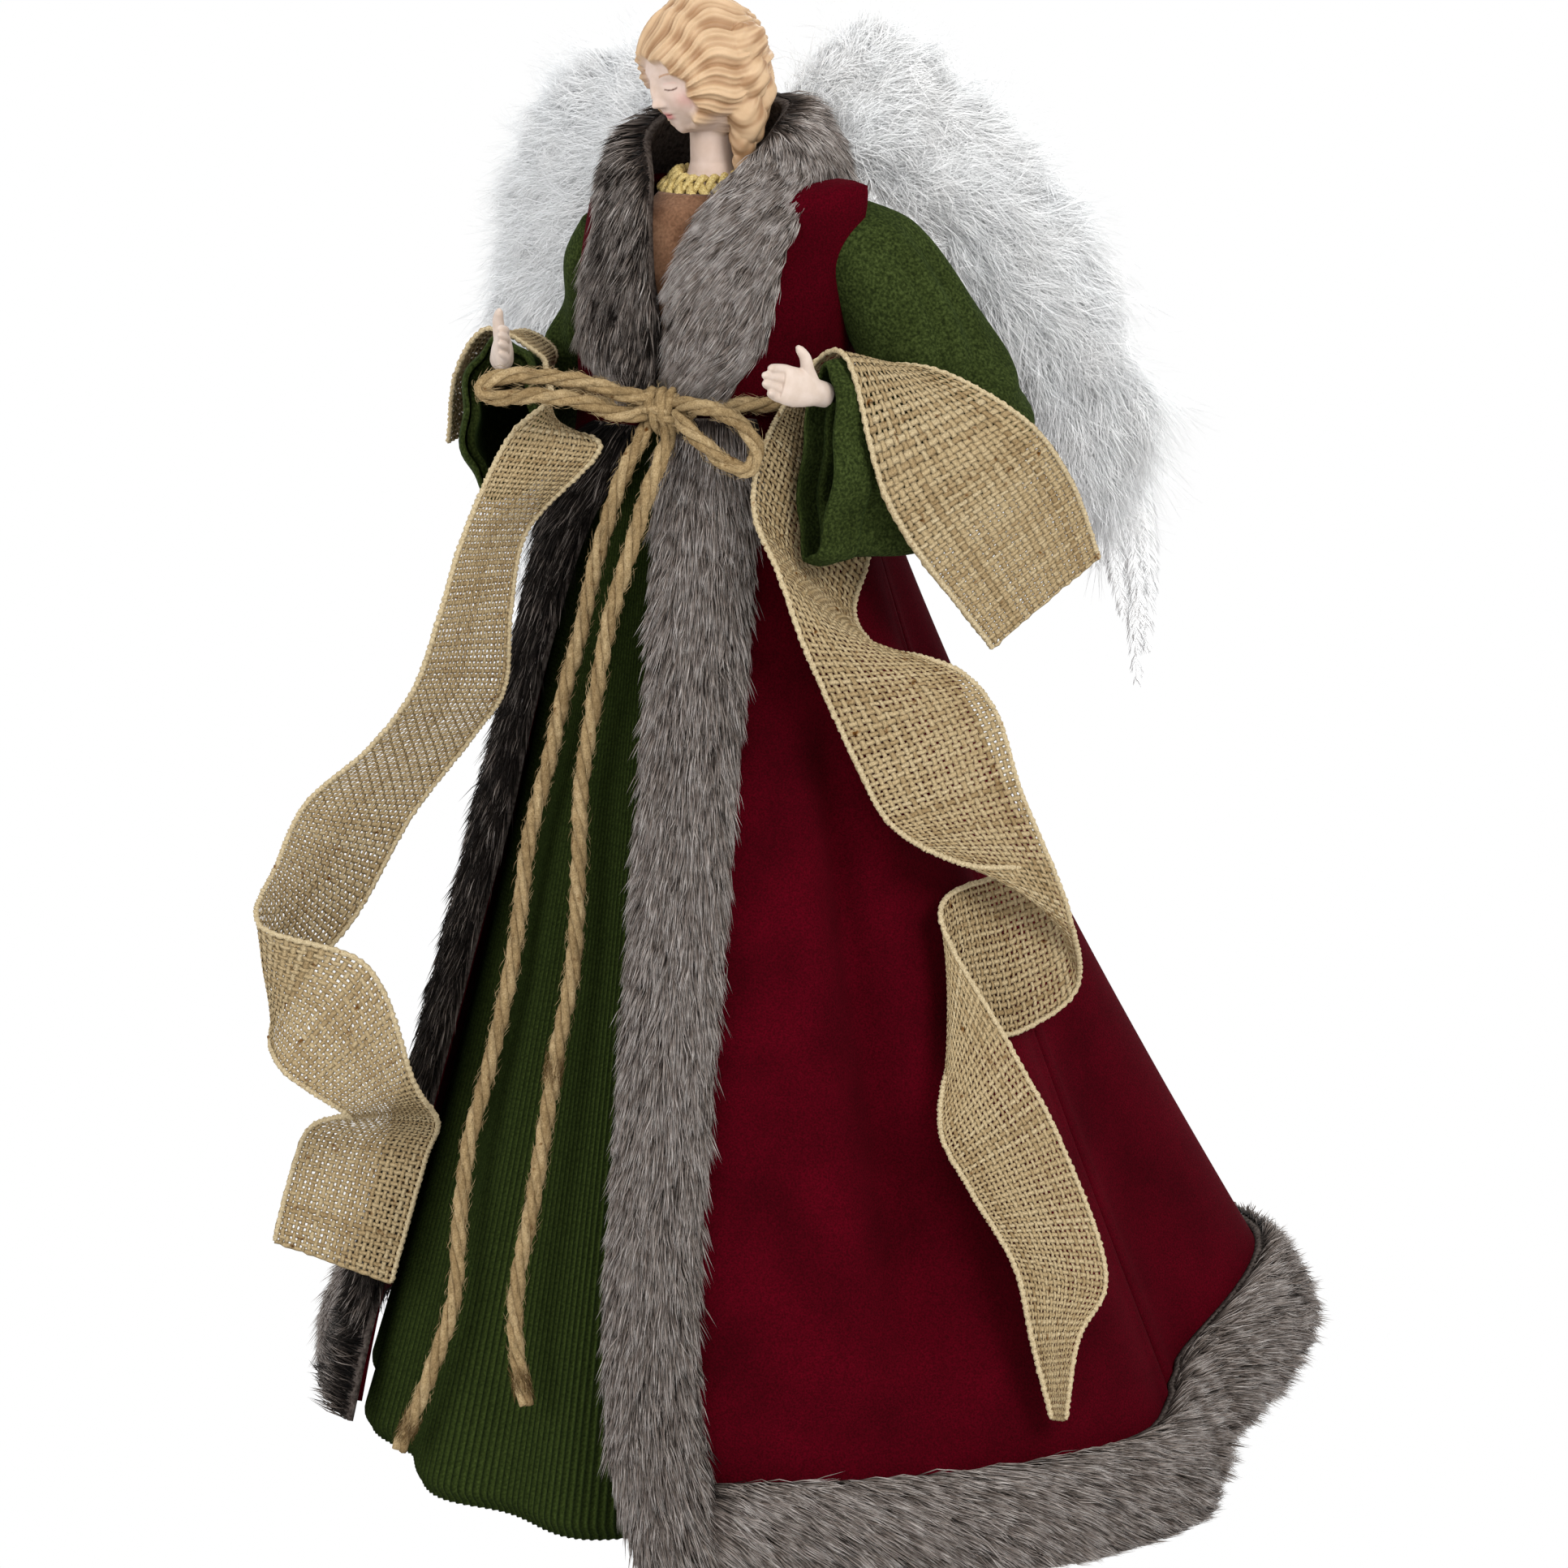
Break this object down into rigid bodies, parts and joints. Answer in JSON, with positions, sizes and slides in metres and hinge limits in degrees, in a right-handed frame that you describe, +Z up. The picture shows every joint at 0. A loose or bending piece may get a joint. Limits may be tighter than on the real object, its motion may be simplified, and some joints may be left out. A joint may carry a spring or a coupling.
{
  "type": "angel tree topper",
  "caption": "Dressed angel figure on an open cone for a tree top, with a fur-edged coat, cord belt, ribbons, feather wings that fold and arms that lift.",
  "frame": {"origin": "centre of the cone mouth, on the surface the figure stands on", "axes": "+Z up, the figure faces -Y, its left hand is on the +X side"},
  "size_m": [0.299, 0.2839, 0.4149],
  "materials": {
    "card": "matte grey-brown card",
    "stuffing": "plain cloth over stuffing",
    "bisque": "painted bisque, eggshell",
    "gold_braid": "metallic braid",
    "suede": "suede",
    "green_knit": "fine rib knit",
    "green_fleece": "brushed knit",
    "burgundy_felt": "wool felt",
    "fur": "grey-brown fur pile",
    "feather": "white down and feathers",
    "jute": "twisted jute",
    "burlap": "open plain weave",
    "wire": "drawn wire"
  },
  "bodies": {
    "figure": {"body_cone": "card", "torso_form": "stuffing", "porcelain_head": "bisque", "neck_braid": "gold_braid", "bodice_front": "suede", "dress_skirt": "green_knit", "coat_back": "burgundy_felt", "coat_left_front": "burgundy_felt", "coat_right_front": "burgundy_felt", "fur_collar": "fur", "fur_front_left": "fur", "fur_front_right": "fur", "fur_hem": "fur", "belt_wrap": "jute", "belt_knot": "jute", "bow_loop_left": "jute", "bow_loop_right": "jute", "cord_tail_left": "jute", "cord_tail_right": "jute", "wing_socket": "card"},
    "left_arm": {"sleeve_left": "green_fleece", "cuff_left": "green_knit", "hand_left": "bisque", "arm_wire_left": "wire", "ribbon_left": "burlap"},
    "left_wing": {"wing_fluff_left": "feather", "wing_quills_left": "feather", "wing_backing_left": "card", "wing_stem_left": "wire"},
    "right_arm": {"sleeve_right": "green_fleece", "cuff_right": "green_knit", "hand_right": "bisque", "arm_wire_right": "wire", "ribbon_right": "burlap"},
    "right_wing": {"wing_fluff_right": "feather", "wing_quills_right": "feather", "wing_backing_right": "card", "wing_stem_right": "wire"}
  },
  "joints": [
    {"name": "left_arm_lift", "type": "hinge", "parent": "figure", "child": "left_arm", "pos_m": [0.034, 0, 0.35], "axis": [0, -1, 0], "range_deg": [0, 20]},
    {"name": "right_arm_lift", "type": "hinge", "parent": "figure", "child": "right_arm", "pos_m": [-0.034, 0, 0.35], "axis": [0, 1, 0], "range_deg": [0, 20]},
    {"name": "left_wing_fold", "type": "hinge", "parent": "figure", "child": "left_wing", "pos_m": [0.01, 0.0405, 0.34], "axis": [0, 0, 1], "range_deg": [0, 45]},
    {"name": "right_wing_fold", "type": "hinge", "parent": "figure", "child": "right_wing", "pos_m": [-0.01, 0.0405, 0.34], "axis": [0, 0, -1], "range_deg": [0, 45]}
  ]
}
